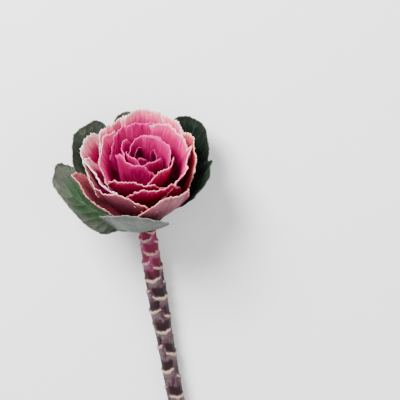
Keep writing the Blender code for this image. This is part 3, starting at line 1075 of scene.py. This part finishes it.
@dataclass
class Stem:
    """The bare stem, which leaves the head down its axis and bends to lie along the floor.

    All sizes in millimetres, and angles in degrees.
    """

    top: float = 3.0  # how far up the head's axis it starts
    neck: float = 15.0  # how far down from there it stays straight
    end: tuple[float, float, float] = (-2.6, -160.2, 6.18)
    rise: float = 4.5
    neck_pull: float = 30.0
    end_pull: float = 95.0
    radii: Table = (  # by how far down the stem, 0 to 1
        (0.0, 5.6), (0.14, 5.9), (0.23, 6.8), (0.32, 6.9), (0.41, 5.9), (0.6, 5.8), (1.0, 6.2))
    sides: int = 72
    rings: int = 640
    samples: int = 240
    scar_first: float = 19.0
    scar_gap: float = 2.8
    scar_gap_growth: float = 0.028
    scar_turn: float = 137.5
    scar_half_width: float = 74.0
    scar_sag: float = 3.2
    scar_raise: float = 1.0
    scar_swell: float = 4.5
    scar_ledge: float = 1.2
    scar_clear: float = 8.0
    scar_above: float = 14.0
    scar_below: float = 26.0
    lip: Band = Band(0.3, 0.9, 2.0, 0.4)
    hollow: Band = Band(-2.4, 1.4, 1.6, 0.4)
    shade: Band = Band(-4.2, 3.6, 2.4)
    dust: Band = Band(3.2, 2.6, 2.0)
    neck_end: float = 66.0
    neck_fade: float = 26.0
    cap_inset: float = 0.08
    skin_unit: float = 40.0

    def __post_init__(self) -> None:
        """Measure the centreline and set out the scars."""
        axis = HEAD.axis
        top = Vector(HEAD.base) + axis * self.top
        rise = math.radians(self.rise)
        end = Vector(self.end)
        lead = end + Vector((0, math.cos(rise), math.sin(rise))) * self.end_pull
        neck = top - axis * self.neck
        controls = (neck, neck - axis * self.neck_pull, lead, end)
        self.points = [top] + [bezier(controls, k / self.samples) for k in range(self.samples + 1)]
        self.stations = measure_line(self.points)
        self.length = self.stations[-1]
        self.scars = self._scars()

    def _scars(self) -> list[Scar]:
        """Set the scars out in their spiral, closer together towards the head."""
        found: list[Scar] = []
        distance = self.scar_first
        while distance < self.length - self.scar_clear:
            found.append(Scar(distance, math.radians(len(found) * self.scar_turn) % (2 * math.pi)))
            distance += self.scar_gap + self.scar_gap_growth * distance
        return found

    def at(self, distance: float) -> tuple[Vector, Vector, Vector]:
        """Find a place on the centreline.

        Args:
            distance: how far down from the stem's top.

        Returns:
            The centre, and the sideways and upward directions across the stem.
        """
        distance = min(max(distance, 0.0), self.length)
        k = next(i for i, s in enumerate(self.stations) if s >= distance and i > 0)
        share = (distance - self.stations[k - 1]) / (self.stations[k] - self.stations[k - 1])
        centre = self.points[k - 1].lerp(self.points[k], share)
        ahead = self.points[min(k + 1, len(self.points) - 1)] - self.points[max(k - 2, 0)]
        side = ahead.cross(Vector((0, 0, 1))).normalized()
        return centre, side, side.cross(ahead).normalized()

    def relief(self, distance: float, angle: float) -> tuple[float, float, float, float]:
        """Work out the skin's relief and marks from the scars near a place.

        Args:
            distance: how far down the stem.
            angle: how far round it, in radians.

        Returns:
            How far the skin stands out, and how strongly it is cream, dark and dusty.
        """
        raised = cream = dark = dusty = 0.0
        for scar in self.scars:
            below = distance - scar.distance
            away = (angle - scar.turn + math.pi) % (2 * math.pi) - math.pi
            reach = abs(away) / math.radians(self.scar_half_width)
            if reach >= 1 or not -self.scar_above < below < self.scar_below:
                continue
            ragged = 0.9 * wobble(angle * 3, scar.distance, 0.0)
            ragged += 0.35 * wobble(angle * 9, scar.distance, 5.0)
            below += self.scar_sag * reach**1.4 + ragged
            if below > 0:
                ramp = math.exp(-below / self.scar_swell)
            else:
                ramp = smooth(1 + below / self.scar_ledge)
            ledge = self.scar_raise * ramp * smooth(2 * (1 - reach))
            raised = max(raised, ledge + self.lip.at(below, reach) - self.hollow.at(below, reach))
            thick = 0.75 + 0.65 * (1 - reach) + 0.5 * wobble(angle * 5, scar.distance, 8.0)
            cream = max(cream, Band(0.6, thick, 3.2).at(below, reach))
            dark = max(dark, self.shade.at(below, reach))
            dusty = max(dusty, self.dust.at(below, reach))
        return raised, cream, dark, dusty

    def draw_tube(self, bm: BMesh) -> None:
        """Add a straight tube of radius and height 1 with capped ends, for build() to bend."""
        bmesh.ops.create_cone(bm, cap_ends=True, segments=self.sides, radius1=1, radius2=1, depth=1)
        for cap in [face for face in bm.faces if len(face.verts) > 4]:
            cap.material_index = 1
            bmesh.ops.inset_individual(bm, faces=[cap], thickness=self.cap_inset)
        long_edges = [e for e in bm.edges if abs(e.verts[0].co.z - e.verts[1].co.z) > 0.5]
        bmesh.ops.subdivide_edges(bm, edges=long_edges, cuts=self.rings)

    def build(self) -> Object:
        """Make the stem and dress it.

        Returns:
            The piece.
        """
        bm = bmesh.new()
        marks = [bm.verts.layers.float.new(name) for name in ("scar", "shade", "dust", "neck")]
        skin = bm.loops.layers.uv.new("Skin")
        self.draw_tube(bm)
        frames: dict[float, tuple[Vector, Vector, Vector]] = {}
        for vert in bm.verts:
            angle = math.atan2(vert.co.y, vert.co.x)
            inset = math.hypot(vert.co.x, vert.co.y)
            distance = round((0.5 - vert.co.z) * self.length, 6)
            if distance not in frames:
                frames[distance] = self.at(distance)
            centre, side, up = frames[distance]
            raised, cream, dark, dusty = self.relief(distance, angle)
            spot = Vector((math.cos(angle) * 2.2, math.sin(angle) * 2.2, distance / 16))
            wrinkle = 0.28 * wobble(*spot) + 0.12 * wobble(*spot * 3.1)
            radius = (along(self.radii, distance / self.length) + raised + wrinkle) * inset
            vert.co = (centre + (side * math.cos(angle) + up * math.sin(angle)) * radius) * MM
            neck = smooth((self.neck_end - distance + 14 * wobble(*spot)) / self.neck_fade)
            for layer, value in zip(marks, (cream, dark, dusty, neck)):
                vert[layer] = value
            for loop in vert.link_loops:
                loop[skin].uv = (angle / (2 * math.pi), distance / self.skin_unit)
        bmesh.ops.recalc_face_normals(bm, faces=bm.faces)
        cut = CutFinish(Vector(self.end) * MM, self.radii[-1][1] * MM)
        return link_piece("kale_stem", bm, "stem", "stem", StemFinish().build(), cut.build())


@dataclass
class Studio:
    """The plain pale floor, the soft light and the camera that looks down on the stem.

    Sizes are in metres, but what the camera aims at is set in millimetres. Powers are in watts.
    """

    floor_size: float = 6.0
    floor_colour: Colour = (0.86, 0.86, 0.86)
    camera_rise: float = 78.0
    lens: float = 200.0
    distance_per_lens: float = 0.00769
    heart_height: float = 55.0
    aim_right: float = 38.0
    aim_down: float = 31.0
    sky_strength: float = 1.0
    lamps: tuple[tuple[str, Colour, float, float, float], ...] = (
        # the name, the direction in the camera's axes, the distance, the width and the power
        ("key", (-0.55, 0.6, 1.0), 1.6, 0.7, 95.0),
        ("fill", (0.9, -0.3, 0.8), 1.8, 1.4, 12.0))

    @property
    def view(self) -> Matrix:
        """The camera's turn: its right, its up, and the direction from the head to it."""
        rise = math.radians(self.camera_rise)
        back = HEAD.ahead * math.cos(rise) + Vector((0, 0, math.sin(rise)))
        return Matrix((HEAD.right, back.cross(HEAD.right), back)).transposed()

    def hang_lamps(self, heart: Vector) -> None:
        """Hang the square soft lights, turned to the head's heart."""
        for name, towards, distance, width, power in self.lamps:
            light = bpy.data.lights.new(name, "AREA")
            light.size = width
            light.energy = power
            lamp = add_object(name, light)
            direction = (self.view @ Vector(towards)).normalized()
            lamp.location = heart + direction * distance
            lamp.rotation_euler = direction.to_track_quat("Z", "Y").to_euler()

    def lay_floor(self) -> None:
        """Lay the floor that the stem lies on."""
        bm = bmesh.new()
        bmesh.ops.create_grid(bm, x_segments=1, y_segments=1, size=self.floor_size / 2)
        add_mesh("floor", bm, NodePainter("Floor").finish(self.floor_colour, 0.8, 0.5))

    def place_camera(self, heart: Vector) -> None:
        """Place the camera by the head's heart, so that the stem runs out of its view."""
        right, up, back = self.view.col
        aim = heart + (right * self.aim_right - up * self.aim_down) * MM
        data = bpy.data.cameras.new("camera")
        data.lens = self.lens
        camera = add_object("camera", data)
        place = aim + back * (self.distance_per_lens * self.lens)
        camera.matrix_world = Matrix.Translation(place) @ self.view.to_4x4()
        bpy.context.scene.camera = camera

    def build(self) -> None:
        """Lay the floor, place the camera and light the scene."""
        self.lay_floor()
        heart = HEAD.matrix @ Vector((0, 0, self.heart_height * MM))
        self.place_camera(heart)
        world = bpy.data.worlds.new("studio")
        world.use_nodes = True
        sky = world.node_tree.nodes["Background"]
        sky.inputs["Color"].default_value = (1, 1, 1, 1)
        sky.inputs["Strength"].default_value = self.sky_strength
        bpy.context.scene.world = world
        self.hang_lamps(heart)


def main() -> None:
    """Build the stem, its leaves and the studio, and report each piece."""
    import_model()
    pieces = [Stem().build(), *OuterLeaves().build(), *Rosette().build()]
    for piece in pieces:
        LOG.info("%s: %d faces", piece.name, len(piece.data.polygons))
    Studio().build()
    bpy.context.view_layer.update()


if __name__ == "__main__":
    logging.basicConfig(level=logging.INFO)
    main()
